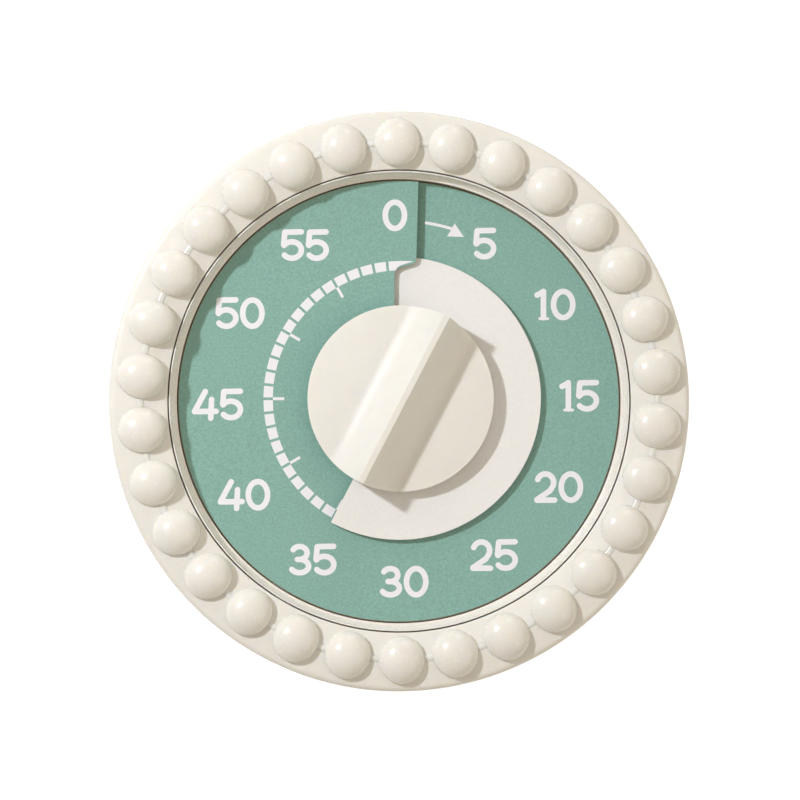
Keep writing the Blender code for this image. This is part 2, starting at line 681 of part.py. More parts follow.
def make_pallets(brass, steel):
    """Anchor with two pins that face the escape wheel, on an arbor of its own."""
    _, _, escape, pallet = train_points()
    turn = heading(pallet, escape)
    steps = [(PIVOT_RADIUS, BACK_PLATE_Z[0] + 0.1, BACK_PLATE_Z[1] + 0.2),
             (TRAIN_ARBOR_RADIUS, BACK_PLATE_Z[1] + 0.2, FRONT_PLATE_Z[0] - 0.2),
             (PIVOT_RADIUS, FRONT_PLATE_Z[0] - 0.2, FRONT_PLATE_Z[1] - 0.1)]
    arbor = turned("pallet_arbor", shaft_profile(steps), steel, (*pallet, 0), segments=12)
    along = PALLET_REACH - PIN_CIRCLE_RADIUS * math.cos(PIN_SPREAD)
    aside = PIN_CIRCLE_RADIUS * math.sin(PIN_SPREAD)
    right = [(-3.0, -1.6), (along - 0.6, -aside - 1.0),
             (along + 1.0, -aside - 0.6), (along + 0.6, -aside + 0.9)]
    left = [(x, -y) for x, y in reversed(right)]
    pins = []
    for side in (-1, 1):
        reach, angle = math.hypot(along, aside), turn + side * math.atan2(aside, along)
        pins.append((pallet[0] + reach * math.cos(angle), pallet[1] + reach * math.sin(angle)))
    anchor = bored_wheel("pallet_anchor", right + [(1.9, 0)] + left, ANCHOR_Z, 1.15, brass, pallet, turn,
                         [(*pin, 0.55) for pin in pins])
    pieces = [arbor, anchor]
    profile = shaft_profile([(0.3, ESCAPE_WHEEL_Z - 0.2, ANCHOR_Z + 1.1)])
    for number, place in enumerate(pins, 1):
        pieces.append(turned(f"pallet_pin_{number}", profile, steel, (*place, 0), segments=10))
    parent_to_axis("pallet_axis", pallet, pieces)


# ---------------------------------------------------------------- spring, click and cam

def spring_post_point():
    """The post stands just outside the spring's outer end."""
    return 0.0, SPRING_RADII[1] + 1.5


def make_mainspring(material):
    """Flat strip wound as a spiral between the arbor and its post."""
    steps = 14 * SPRING_TURNS
    inner, outer = SPRING_RADII
    bm = bmesh.new()
    sections = []
    for i in range(steps + 1):
        share = i / steps
        angle = math.radians(100) - FULL_TURN * SPRING_TURNS * (1 - share)
        radius = inner + (outer - inner) * share
        section = []
        for offset, z in ((0, SPRING_Z[0]), (SPRING_STRIP, SPRING_Z[0]),
                          (SPRING_STRIP, SPRING_Z[1]), (0, SPRING_Z[1])):
            reach = radius + offset
            section.append(bm.verts.new((reach * math.cos(angle), reach * math.sin(angle), z)))
        sections.append(section)
    for section, following in zip(sections, sections[1:]):
        for i in range(4):
            bm.faces.new((section[i - 1], section[i], following[i], following[i - 1]))
    bm.faces.new(sections[0])
    bm.faces.new(sections[-1])
    return make_object("mainspring", bm, material)


def make_spring_post(material):
    steps = [(0.6, BACK_PLATE_Z[0] - 0.2, BACK_PLATE_Z[1] + 0.2), (0.9, BACK_PLATE_Z[1] + 0.2, 14.0)]
    x, y = spring_post_point()
    turned("spring_post", shaft_profile(steps), material, (x, y, 0), segments=12)


def make_ratchet(material):
    """Saw-toothed wheel on the arbor: its click lets the arbor be wound ahead of the wheel."""
    outline = ratchet_outline(RATCHET_TEETH, RATCHET_RADIUS, 0.8)
    ratchet = prism("ratchet_wheel", outline, RATCHET_Z, RATCHET_Z + 0.8, material)
    drill(ratchet, [(0, 0, 2.0, RATCHET_Z - 1, RATCHET_Z + 2)])
    return ratchet


def click_point():
    """The click's pivot on the main wheel."""
    return polar(9.5, 250)


def make_click(material):
    """Pawl that rests just off the ratchet's teeth and swings outwards."""
    x, y = click_point()
    towards = heading((x, y), polar(RATCHET_RADIUS + 0.45, 290))
    length = math.dist((x, y), polar(RATCHET_RADIUS + 0.45, 290))
    outline = [(-1.6, -0.9), (-1.0, -1.5), (1.0, -1.5), (length, -0.25), (length, 0.25), (1.0, 1.5),
               (-1.0, 1.5), (-1.6, 0.9)]
    click = prism("click", outline, RATCHET_Z, RATCHET_Z + 0.8, material, (x, y), towards)
    drill(click, [(x, y, 0.85, RATCHET_Z - 1, RATCHET_Z + 2)])
    return click


def make_click_pivot(material):
    """Rivet whose head rests on the main wheel and whose shank carries the click below it."""
    x, y = click_point()
    head_z = MAIN_WHEEL_Z + WHEEL_THICKNESS + 0.2
    steps = [(0.7, RATCHET_Z, head_z), (1.2, head_z, head_z + 0.4)]
    return turned("click_pivot", shaft_profile(steps), material, (x, y, 0), segments=12)


def make_strike_cam(material):
    """Cam with one notch, which reaches the follower when the time has run out."""
    notch = CAM_REST - SETTING
    steps = 28
    outline = []
    for i in range(steps + 1):
        angle = notch + FULL_TURN * i / steps
        depth = 2.0 if i == steps else 0.0
        outline.append(((CAM_RADIUS - depth) * math.cos(angle), (CAM_RADIUS - depth) * math.sin(angle)))
    cam = prism("strike_cam", outline, CAM_Z, CAM_Z + 0.8, material)
    drill(cam, [(0, 0, 2.0, CAM_Z - 1, CAM_Z + 2)])
    return cam


# ---------------------------------------------------------------- hammer and bell

def follower_point():
    reach = CAM_RADIUS + 0.5
    return reach * math.cos(CAM_REST), reach * math.sin(CAM_REST)


def hammer_arbor_point():
    """Stands so that the follower arm is square to the cam's radius at their contact."""
    x, y = follower_point()
    arm = math.sqrt(HAMMER_ARBOR_DISTANCE ** 2 - math.hypot(x, y) ** 2)
    direction = CAM_REST - math.pi / 2
    return x + arm * math.cos(direction), y + arm * math.sin(direction)


def arm_outline(start, end, root_half, tip_half):
    """Tapered arm in plan, from a point near its arbor to its end."""
    direction = heading(start, end)
    sideways = (-math.sin(direction), math.cos(direction))
    return [(start[0] - root_half * sideways[0], start[1] - root_half * sideways[1]),
            (end[0] - tip_half * sideways[0], end[1] - tip_half * sideways[1]),
            (end[0] + tip_half * sideways[0], end[1] + tip_half * sideways[1]),
            (start[0] + root_half * sideways[0], start[1] + root_half * sideways[1])]


def make_arm(name, end, low, thickness, tip_half, material):
    """Arm with a round eye on the hammer arbor."""
    x, y = hammer_arbor_point()
    outline = arm_outline((0, 0), (end[0] - x, end[1] - y), 1.2, tip_half)
    arm = prism(name, outline, low, low + thickness, material, (x, y))
    eye = make_cutter(name + "_eye", add_prism(bmesh.new(), circle(2.2, centre=(x, y)), low, low + thickness))
    add_boolean(arm, eye, "UNION")
    drill(arm, [(x, y, 1.2, low - 1, low + thickness + 1)])
    return arm


def make_hammer(brass, steel):
    """Arbor with the cam follower between the plates and the striking arm inside the bell."""
    x, y = hammer_arbor_point()
    steps = [(1.0, 8.5, FRONT_PLATE_Z[0] - 0.2),
             (PIVOT_RADIUS, FRONT_PLATE_Z[0] - 0.2, FRONT_PLATE_Z[1] - 0.1)]
    arbor = turned("hammer_arbor", shaft_profile(steps), steel, (x, y, 0), segments=12)
    tip = follower_point()
    follower = make_arm("hammer_follower", tip, CAM_Z, 0.8, 0.4, steel)
    head_x, head_y = polar(*HAMMER_HEAD)
    arm = make_arm("hammer_arm", (head_x, head_y), STRIKE_ARM_Z, 0.5, 1.4, steel)
    arm_hole = add_prism(bmesh.new(), circle(0.9, 12, (head_x, head_y)), 8, 10)
    add_boolean(arm, make_cutter("hammer_arm_rivet_hole", arm_hole), "DIFFERENCE")
    profile = shaft_profile([(HAMMER_HEAD_RADIUS, 6.2, STRIKE_ARM_Z - 0.2), (0.7, STRIKE_ARM_Z - 0.2, 9.1)])
    head = turned("hammer_head", profile, brass, (head_x, head_y, 0), segments=SMALL_ROUND)
    parent_to_axis("hammer_axis", (x, y), (arbor, follower, arm, head))


def make_bell(material):
    """Shallow steel dome, open towards the movement."""
    bottom, rim = BELL_Z
    steps = 5
    outer, inner = [], []
    for i in range(steps + 1):
        angle = math.pi / 2 * i / steps
        outer.append((BELL_CROWN_RADIUS + (BELL_RADIUS - BELL_CROWN_RADIUS) * math.sin(angle),
                      rim - (rim - bottom) * math.cos(angle)))
        inner.append((BELL_CROWN_RADIUS + (BELL_RADIUS - BELL_WALL - BELL_CROWN_RADIUS) * math.sin(angle),
                      rim - (rim - bottom - BELL_WALL) * math.cos(angle)))
    profile = [(BELL_HOLE_RADIUS, bottom)] + outer + inner[::-1] + [(BELL_HOLE_RADIUS, bottom + BELL_WALL)]
    return turned("bell", profile, material, segments=36)


def make_bell_post(material):
    """Post between the back plate and the bell, threaded for the bell's screw."""
    foot = BELL_Z[0] + BELL_WALL + 0.2
    bore = BELL_POST_RADIUS - 1.7
    thread_end = BELL_POST_TOP_Z - 0.7
    profile = [(bore, foot), (BELL_POST_RADIUS, foot), (BELL_POST_RADIUS, BELL_POST_TOP_Z),
               (0, BELL_POST_TOP_Z), (0, thread_end), (bore, thread_end)]
    return turned("bell_post", profile, material, segments=16)


def make_bell_screw(material):
    return make_screw("bell_screw", (0, 0), (BELL_Z[0] - 1.1, BELL_Z[0] - 0.2), BELL_SCREW, material)


def build():
    clear_scene()
    cream = make_material("cream_plastic", (0.89, 0.83, 0.72), 0.35)
    ivory = make_material("ivory_plastic", (0.88, 0.82, 0.72), 0.4)
    green = make_material("green_plastic", (0.25, 0.43, 0.33), 0.55)
    white = make_material("white_plastic", (0.85, 0.81, 0.76), 0.5)
    brass = make_material("brass", (0.72, 0.53, 0.24), 0.3, 1.0)
    steel = make_material("steel", (0.56, 0.57, 0.58), 0.3, 1.0)
    make_bezel(cream)
    make_trim_ring(cream)
    make_case(cream)
    make_back_cover(cream)
    make_case_screws(steel)
    make_dial(green)
    disc = make_time_disc(white)
    knob = make_knob(ivory)
    arbor = make_main_arbor(steel)
    train = train_points()
    make_plates(steel, list(train) + [hammer_arbor_point()])
    make_pillars(brass)
    main_wheel = make_train(brass, steel)
    make_pallets(brass, steel)
    make_mainspring(steel)
    make_spring_post(brass)
    ratchet = make_ratchet(steel)
    click = make_click(steel)
    click_pivot = make_click_pivot(steel)
    cam = make_strike_cam(steel)
    parent_to_axis("main_axis", (0, 0), (knob, arbor, disc, ratchet, cam, main_wheel, click_pivot))
    parent_to_axis("click_axis", click_point(), (click,))
    make_hammer(brass, steel)
    make_bell(steel)
    make_bell_post(brass)
    make_bell_screw(steel)


build()
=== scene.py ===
"""Looks of the mechanical kitchen timer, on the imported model's frame.

The timer lies on its back: +Z is the dial's normal and +Y points to 12 o'clock.
Lengths are millimetres until they reach a mesh or a location, where MM turns them
into metres.  Dial angles run clockwise from 12 o'clock.
"""

import math

import bmesh
import bpy
from mathutils import Matrix, Vector


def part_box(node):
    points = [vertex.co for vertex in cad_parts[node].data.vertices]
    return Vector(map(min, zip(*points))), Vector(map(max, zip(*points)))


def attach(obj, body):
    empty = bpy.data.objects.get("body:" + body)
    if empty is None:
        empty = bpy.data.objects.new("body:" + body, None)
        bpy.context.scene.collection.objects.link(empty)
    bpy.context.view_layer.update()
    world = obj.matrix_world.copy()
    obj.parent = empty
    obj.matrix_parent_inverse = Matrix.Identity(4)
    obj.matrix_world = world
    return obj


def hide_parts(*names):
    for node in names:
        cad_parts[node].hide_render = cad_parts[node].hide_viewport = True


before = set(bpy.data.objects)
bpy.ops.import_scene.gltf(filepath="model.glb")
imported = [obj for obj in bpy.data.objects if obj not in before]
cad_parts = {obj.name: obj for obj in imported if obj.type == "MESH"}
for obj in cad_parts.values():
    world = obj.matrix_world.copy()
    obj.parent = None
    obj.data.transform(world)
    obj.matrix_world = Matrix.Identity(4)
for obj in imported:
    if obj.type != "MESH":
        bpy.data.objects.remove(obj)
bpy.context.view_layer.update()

MM = 0.001
FULL_TURN = 2 * math.pi


def top_of(node):
    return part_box(node)[1].z / MM


def foot_of(node):
    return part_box(node)[0].z / MM


def reach_of(node):
    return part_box(node)[1].x / MM


# Bezel, beads and rings.
CASE_RADIUS = reach_of("bezel")
BEAD_TOP_Z = top_of("bezel")
TRIM_TOP_Z = top_of("trim_ring")
CREST_Z = TRIM_TOP_Z + 1.05
FLANGE_THICKNESS = 1.9
FLANGE_INNER_DROP = 1.0
FLANGE_OUTER_DROP = 0.5
SKIRT_FOOT_Z = foot_of("bezel")
SKIRT_WALL = 1.5
BEZEL_BORE_RADIUS = CASE_RADIUS - 8.7
BEAD_COUNT = 30
BEAD_START = math.radians(-0.5)
BEAD_CIRCLE_RADIUS = CASE_RADIUS - 4.73
BEAD_RADIAL = 3.58
BEAD_TANGENTIAL = 3.38
BEAD_HEIGHT = BEAD_TOP_Z - CREST_Z
BEAD_FULLNESS = 0.57
BEAD_LOWEST_RISE = -0.35
LINK_SEAT_DEPTH = 0.26
LINK_HALF_WIDTHS = (0.55, 1.45)
LINK_HEIGHTS = (0.31, 0.81)
LINK_FLARE = 6
TRIM_LIP_RADIUS = 33.0
TRIM_RIM_HEIGHT = 1.1
TRIM_LIP_RISE = 0.4
CASE_WALL = 1.6
GAP = 0.3

# Dial and time disc, two helical sheets of one pitch.
PITCH = 1.35
DIAL_SHEET = 0.3
DIAL_HIGH_POINT = (2.75, 20.45)
DIAL_HIGH_LAP = PITCH * math.asin(DIAL_HIGH_POINT[0] / DIAL_HIGH_POINT[1]) / FULL_TURN
DIAL_LOW_Z = top_of("dial") - PITCH - DIAL_HIGH_LAP
DIAL_RIM_RADIUS = reach_of("dial")
DIAL_BORE_RADIUS = 6.0
# Width of the brown strip of painted shade along the dial's rim.
GAP_SHADE_WIDTH = 0.12
SLIT_STEP_RADIUS = 20.15
SLIT_STEP_SOFTNESS = 0.5
SLIT_MIDDLE_X = 0.94
SLIT_HALF_STEP = 1.66
SLIT_LEAN = 0.025
SLIT_LEAN_RADIUS = 22
HIDDEN_LAP_X = -2.5
DISC_SLIT_LIFT = 0.5
DISC_FREE_LIFT = 0.95
DISC_LIFT_TURN = math.radians(60)
DISC_SHEET = 0.2
DISC_RADIUS = 21.05
DISC_BORE_RADIUS = 5.0
DISC_CENTRE = (0.05, 0.45)
DISC_EDGE_OFFSET = 0.55

# Knob.
KNOB_RADIUS = 13.8
KNOB_FOOT_Z = foot_of("knob")
KNOB_RIM_Z = KNOB_FOOT_Z + 0.95
RIDGE_TOP_Z = top_of("knob")
RIDGE_HALF_WIDTH = 0.45
RIDGE_OFFSET = -0.42
RIDGE_FLANK = 5.5
RIDGE_HOLLOW = 2.1
RIDGE_ANGLE = math.radians(207.4)
KNOB_CENTRE = (0.2, 0.35)
KNOB_EDGE = 0.16

# Printed figures and marks, as heights and offsets on the dial.
PRINT_LIFT = 0.012
STROKE_LIFT = 0.002
FIGURE_HEIGHT = 4.7
FIGURE_STROKE = 0.09
FOOT_STROKE = 0.045
FIGURE_SPACE = 0.045
FIGURE_SHIFT = (0.05, 0.15)
FIGURE_LEAD = math.radians(-1.4)
FIGURE_RADIUS = 27.0
FIGURE_RADII = {0: 27.5, 5: 26.6, 10: 27.4}
MINUTE_RING = (19.1, 20.5)
MINUTE_RING_CENTRE = (0.35, 0.35)
MINUTE_GAP = 0.4
LAST_MINUTE_GAP = 0.15
FIVE_BAR = (17.4, 19.1)
FIVE_BAR_HALF_WIDTH = 0.22
ARROW_RADIUS = 26.9
ARROW_START = 8.6
ARROW_SWEEP = 9.6
ARROW_HALF_WIDTH = 0.22
ARROW_HEAD = ((26.35, 21.6), (25.6, 16.3), (27.8, 17.4))

# Linear base colours.
CREAM = (0.8, 0.77, 0.71)
IVORY = (0.79, 0.763, 0.71)
TRIM_CREAM = (0.84, 0.78, 0.72)
GREEN = (0.225, 0.41, 0.352)
WHITE_DISC = (0.83, 0.8, 0.765)
PRINT_WHITE = (0.83, 0.82, 0.85)
# Brown for painted shade: the dark gap under the trim ring's lip, laid on the dial's rim as a strip.
GAP_SHADE_BROWN = (0.16, 0.09, 0.035)

FLOOR_HALF_SIZE = 3000
FLOOR_Z = -0.2
FLOOR_GLOW = 0.85

ROUND = 256


# ---------------------------------------------------------------- mesh helpers

def dial_point(radius, angle):
    return radius * math.sin(angle), radius * math.cos(angle)


def make_piece(name, bm, material, body, *stands_for, smooth=True, sharp=35):
    """Turn a bmesh in millimetres into a piece that rides on a body."""
    bmesh.ops.remove_doubles(bm, verts=bm.verts, dist=1e-5)
    bmesh.ops.recalc_face_normals(bm, faces=bm.faces)
    bmesh.ops.scale(bm, vec=(MM, MM, MM), verts=bm.verts)
    mesh = bpy.data.meshes.new(name)
    bm.to_mesh(mesh)
    bm.free()
    if smooth:
        mesh.shade_smooth()
        mesh.set_sharp_from_angle(angle=math.radians(sharp))
    obj = bpy.data.objects.new(name, mesh)
    bpy.context.scene.collection.objects.link(obj)
    mesh.materials.append(material)
    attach(obj, body)
    if stands_for:
        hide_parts(*stands_for)
    return obj


def soften(corners, steps=5):
    """Round a closed outline: each corner is (x, y, length taken from both its sides)."""
    outline = []
    count = len(corners)
    for i, (x, y, cut) in enumerate(corners):
        here = Vector((x, y))
        if cut == 0:
            outline.append((x, y))
            continue
        before = Vector(corners[i - 1][:2]) - here
        after = Vector(corners[(i + 1) % count][:2]) - here
        start = here + before.normalized() * cut
        end = here + after.normalized() * cut
        for k in range(steps + 1):
            t = k / steps
            point = start * (1 - t) ** 2 + here * (2 * t * (1 - t)) + end * t ** 2
            outline.append((point.x, point.y))
    return outline


def turned(profile, segments=ROUND):
    """Spin a closed (radius, z) profile around the Z axis."""
    bm = bmesh.new()
    verts = [bm.verts.new((radius, 0, z)) for radius, z in profile]
    edges = [bm.edges.new((a, b)) for a, b in zip(verts, verts[1:] + verts[:1])
             if a.co.x > 0 or b.co.x > 0]
    bmesh.ops.spin(bm, geom=verts + edges, cent=(0, 0, 0), axis=(0, 0, 1),
                   angle=FULL_TURN, steps=segments, use_merge=True)
    return bm


# ---------------------------------------------------------------- case and bezel

def make_flange(material):
    """Flange that falls away from the pearls to both sides, with the skirt around it."""
    skirt_bore = CASE_RADIUS - SKIRT_WALL
    underside = CREST_Z - FLANGE_THICKNESS
    profile = soften([
        (BEZEL_BORE_RADIUS, underside, 0),
        (skirt_bore, underside, 0),
        (skirt_bore, SKIRT_FOOT_Z, 0.2),
        (CASE_RADIUS, SKIRT_FOOT_Z, 0.35),
        (CASE_RADIUS, CREST_Z - FLANGE_OUTER_DROP, 1.0),
        (BEAD_CIRCLE_RADIUS, CREST_Z, 1.2),
        (BEZEL_BORE_RADIUS, CREST_Z - FLANGE_INNER_DROP, 0.16),
    ], 8)
    make_piece("bezel_flange", turned(profile), material, "root", "bezel", sharp=60)


def make_beads(material):
    """Pearls: domes a little longer along the radius than along the rim."""
    bm = bmesh.new()
    around, up = 56, 20
    lowest = BEAD_LOWEST_RISE
    for index in range(BEAD_COUNT):
        angle = BEAD_START + FULL_TURN * index / BEAD_COUNT
        x, y = dial_point(BEAD_CIRCLE_RADIUS, angle)
        place = Matrix.Translation((x, y, CREST_Z)) @ Matrix.Rotation(-angle, 4, "Z")
        rings = []
        for j in range(up):
            rise = lowest + (math.pi / 2 - lowest) * j / up
            height = BEAD_HEIGHT * math.copysign(abs(math.sin(rise)) ** (2 * BEAD_FULLNESS), rise)
            ring = []
            for i in range(around):
                turn = FULL_TURN * i / around
                local = Vector((BEAD_TANGENTIAL * math.cos(rise) * math.cos(turn),
                                BEAD_RADIAL * math.cos(rise) * math.sin(turn), height))
                ring.append(bm.verts.new(place @ local))
            rings.append(ring)
        crown = bm.verts.new(place @ Vector((0, 0, BEAD_HEIGHT)))
        for ring, upper in zip(rings, rings[1:]):
            for i in range(around):
                bm.faces.new((ring[i - 1], ring[i], upper[i], upper[i - 1]))
        for i in range(around):
            bm.faces.new((rings[-1][i - 1], rings[-1][i], crown))
        bm.faces.new(rings[0])
    make_piece("bezel_beads", bm, material, "root", "bezel", sharp=60)


def make_links(material):
    """Low rounded bead along the crest that joins each pearl to the next, wider at its ends."""
    bm = bmesh.new()
    steps, section = 720, 10
    rings = []
    for i in range(steps):
        angle = BEAD_START + FULL_TURN * i / steps
        nearness = abs(math.cos(BEAD_COUNT / 2 * (angle - BEAD_START)))
        half_width, height = (low + (high - low) * nearness ** LINK_FLARE
                              for low, high in (LINK_HALF_WIDTHS, LINK_HEIGHTS))
        ring = []
        for k in range(section):
            turn = math.pi * k / (section - 1)
            x, y = dial_point(BEAD_CIRCLE_RADIUS + half_width * math.cos(turn), angle)
            ring.append(bm.verts.new((x, y, CREST_Z - LINK_SEAT_DEPTH + height * math.sin(turn))))
        rings.append(ring)
    for ring, following in zip(rings, rings[1:] + rings[:1]):
        for k in range(section):
            bm.faces.new((ring[k - 1], ring[k], following[k], following[k - 1]))
    make_piece("bezel_links", bm, material, "root", "bezel", sharp=60)


def make_trim_ring(material):
    """Thin upright rim inside the bezel's bore, then a band that slopes down to the dial."""
    outer = BEZEL_BORE_RADIUS - 0.2
    foot = foot_of("trim_ring")
    lip_z = DIAL_LOW_Z + PITCH + TRIM_LIP_RISE
    profile = soften([
        (TRIM_LIP_RADIUS, foot, 0),
        (outer, foot, 0),
        (outer, TRIM_TOP_Z, 0.08),
        (outer - 0.2, TRIM_TOP_Z, 0.08),
        (outer - 0.25, TRIM_TOP_Z - TRIM_RIM_HEIGHT, 0.1),
        (TRIM_LIP_RADIUS + 0.3, lip_z + 0.05, 0.1),
        (TRIM_LIP_RADIUS, lip_z, 0.1),
    ], 4)
    make_piece("trim_ring_fine", turned(profile), material, "root", "trim_ring")


def make_case(material):
    """Cup behind the bezel, open at the back, with its front wall under the dial."""
    top = top_of("case")
    shoulder = SKIRT_FOOT_Z - GAP
    front = foot_of("dial") - GAP
    outer = CASE_RADIUS - 1.8
    profile = soften([
        (38.9, 0.0, 0.2),
        (CASE_RADIUS - 2.0, 0.0, 1.2),
        (CASE_RADIUS - 0.8, shoulder, 0.4),
        (outer, shoulder, 0),
        (outer, top, 0),
        (outer - CASE_WALL, top, 0),
        (outer - CASE_WALL, front, 0),
        (3.0, front, 0),
        (3.0, front - 1.2, 0),
        (39.3, front - 1.2, 0),
    ], 6)
    make_piece("case_shell", turned(profile), material, "root", "case")


# ---------------------------------------------------------------- dial and time disc

def helix_z(angle):
    """Height of the top face of the dial's sheet at a clockwise angle from the slit."""
    return DIAL_LOW_Z + PITCH * angle / FULL_TURN


def slit_edge_x(radius):
    """The slit runs down from the rim, steps left in an S where the minute ring ends, and goes on."""
    step = math.tanh((radius - SLIT_STEP_RADIUS) / SLIT_STEP_SOFTNESS)
    lean = SLIT_LEAN * max(0.0, radius - SLIT_LEAN_RADIUS)
    return SLIT_MIDDLE_X + SLIT_HALF_STEP * step + lean


def slit_end(radius):
    """Angle at which the dial's sheet ends, one turn on."""
    return FULL_TURN + math.asin(slit_edge_x(radius) / radius)


def dial_height(x, y):
    """Height of the dial's top face at a plan point, on the side of the slit where the point lies."""
    radius = math.hypot(x, y)
    angle = math.atan2(x, y) % FULL_TURN
    if y > 0 and 0 <= x < slit_edge_x(radius):
        angle += FULL_TURN
    elif y > 0 and slit_edge_x(radius) < x < 0:
        angle -= FULL_TURN
    return helix_z(angle)


def flat_on_dial(angle):
    return 0.0


def disc_lift(angle):
    """The film bends up through the slit and is clear of the dial a sixth of a turn on."""
    share = min(1.0, max(0.0, angle / DISC_LIFT_TURN))
    return DISC_SLIT_LIFT + (DISC_FREE_LIFT - DISC_SLIT_LIFT) * share * share * (3 - 2 * share)


def helical_sheet(radii, columns, thickness, lift=flat_on_dial, centre=(0, 0)):
    """A sheet whose top lies at a lift over the helix: columns(radius) gives each row's angles."""
    bm = bmesh.new()
    rows = []
    for radius in radii:
        row = []
        for angle in columns(radius):
            x, y = (value + shift for value, shift in zip(dial_point(radius, angle), centre))
            z = helix_z(angle) + lift(angle)
            row.append((bm.verts.new((x, y, z)), bm.verts.new((x, y, z - thickness))))
        rows.append(row)
    last_row, last_column = len(rows) - 1, len(rows[0]) - 1
    for side in (0, 1):
        for i in range(last_row):
            for j in range(last_column):
                bm.faces.new((rows[i][j][side], rows[i][j + 1][side],
                              rows[i + 1][j + 1][side], rows[i + 1][j][side]))
    border = [(0, j) for j in range(last_column)]
    border += [(i, last_column) for i in range(last_row)]
    border += [(last_row, j) for j in range(last_column, 0, -1)]
    border += [(i, 0) for i in range(last_row, 0, -1)]
    for (i, j), (k, m) in zip(border, border[1:] + border[:1]):
        bm.faces.new((rows[i][j][0], rows[k][m][0], rows[k][m][1], rows[i][j][1]))
    return bm


def spaced(low, high, step):
    """Evenly spaced values from low to high, about a step apart."""
    count = max(1, round((high - low) / step))
    return [low + (high - low) * i / count for i in range(count + 1)]


def dial_columns(radius):
    """Angles of one row of the dial, closer together near the slit."""
    start = math.asin(HIDDEN_LAP_X / radius)
    end = slit_end(radius)
    near = math.radians(349)
    return [start] + spaced(0, near, math.radians(1.5)) + [near + (end - near) * i / 12 for i in range(1, 13)]


def make_dial(material, gap_shade_material):
    """Green sheet, with a fine brown strip along its rim that is painted shade of the gap under the trim
    ring's lip.
    """
    radii = spaced(DIAL_BORE_RADIUS, 18, 1.0) + spaced(18.1, 22.5, 0.1) + spaced(23.5, DIAL_RIM_RADIUS, 1.0)
    make_piece("dial_face", helical_sheet(radii, dial_columns, DIAL_SHEET), material, "root", "dial")
    # Painted shade: a thin brown strip on the rim stands for the shadow in the gap under the trim ring's lip.
    edge = helical_sheet([DIAL_RIM_RADIUS - GAP_SHADE_WIDTH, DIAL_RIM_RADIUS], dial_columns, DIAL_SHEET / 2,
                         lambda angle: PRINT_LIFT)
    make_piece("dial_rim_painted_shade", edge, gap_shade_material, "root", "dial")


def disc_end(radius):
    """The leading edge is straight and parallel to the knob's ridge, just ahead of the centre line."""
    return RIDGE_ANGLE + math.asin(DISC_EDGE_OFFSET / radius)


def disc_columns(radius):
    end = disc_end(radius)
    start = end - FULL_TURN + math.radians(1)
    return [start + (end - start) * i / 240 for i in range(241)]


def make_time_disc(material):
    radii = spaced(DISC_BORE_RADIUS, DISC_RADIUS, 1.6)
    sheet = helical_sheet(radii, disc_columns, DISC_SHEET, disc_lift, DISC_CENTRE)
    make_piece("time_disc_fine", sheet, material, "time_disc", "time_disc")


# ---------------------------------------------------------------- printed marks

def add_stroke(bm, points, half_width, lift):
    """A flat ribbon along a line of plan points, laid on the dial: a loop, or with round ends."""
    path = [Vector(point) for point in points]
    last = len(path) - 1
    closed = (path[0] - path[last]).length < 1e-6
    left, right = [], []
    for i, point in enumerate(path):
        if closed and i in (0, last):
            ahead = path[1] - path[last - 1]
        else:
            ahead = path[min(i + 1, last)] - path[max(i - 1, 0)]
        side = Vector((-ahead.y, ahead.x)).normalized() * half_width
        left.append(point + side)
        right.append(point - side)

    def cap(centre, start):
        turn = math.atan2(start.y, start.x)
        angles = [turn - math.pi * k / 8 for k in range(1, 8)]
        return [centre + Vector((math.cos(angle), math.sin(angle))) * half_width for angle in angles]

    end_cap = cap(path[-1], left[-1] - path[-1])
    start_cap = cap(path[0], right[0] - path[0])
    place = {}

    def vert(point):
        key = (round(point.x, 6), round(point.y, 6))
        if key not in place:
            place[key] = bm.verts.new((point.x, point.y, dial_height(point.x, point.y) + lift))
        return place[key]

    for i in range(last):
        bm.faces.new((vert(left[i]), vert(right[i]), vert(right[i + 1]), vert(left[i + 1])))
    if closed:
        return
    bm.faces.new([vert(p) for p in [left[-1], *end_cap, right[-1]]])
    bm.faces.new([vert(p) for p in [right[0], *start_cap, left[0]]])


def arc(centre, radii, start, end, steps=20):
    """Points along an ellipse's arc, angles in degrees anticlockwise from +X."""
    points = []
    for i in range(steps + 1):
        angle = math.radians(start + (end - start) * i / steps)
        points.append((centre[0] + radii[0] * math.cos(angle), centre[1] + radii[1] * math.sin(angle)))
    return points


FIGURES = {
    "0": (0.39, [arc((0, 0.5), (0.305, 0.415), 90, 450, 48)]),
    "1": (0.2, [[(-0.19, 0.8), (-0.1, 0.845), (0.01, 0.915)], [(0.01, 0.9), (0.01, 0.08)],
                [(-0.11, 0.05), (0.15, 0.05)]]),
    "2": (0.37, [arc((0, 0.645), (0.26, 0.27), 160, -25), [(0.236, 0.531), (0.14, 0.38), (-0.27, 0.1)],
                 [(-0.27, 0.085), (0.29, 0.085)]]),
    "3": (0.37, [arc((-0.01, 0.71), (0.235, 0.205), 150, -90), arc((-0.01, 0.295), (0.285, 0.21), 90, -150),
                 [(-0.08, 0.505), (0.0, 0.505)]]),
    "4": (0.41, [[(0.0, 0.91), (-0.34, 0.28)], [(-0.34, 0.275), (0.34, 0.285)], [(0.2, 0.66), (0.17, 0.07)]]),
    "5": (0.37, [[(-0.235, 0.91), (0.28, 0.92)], [(-0.24, 0.9), (-0.275, 0.51)],
                 arc((-0.015, 0.345), (0.3, 0.26), 146, -142, 28)]),
}


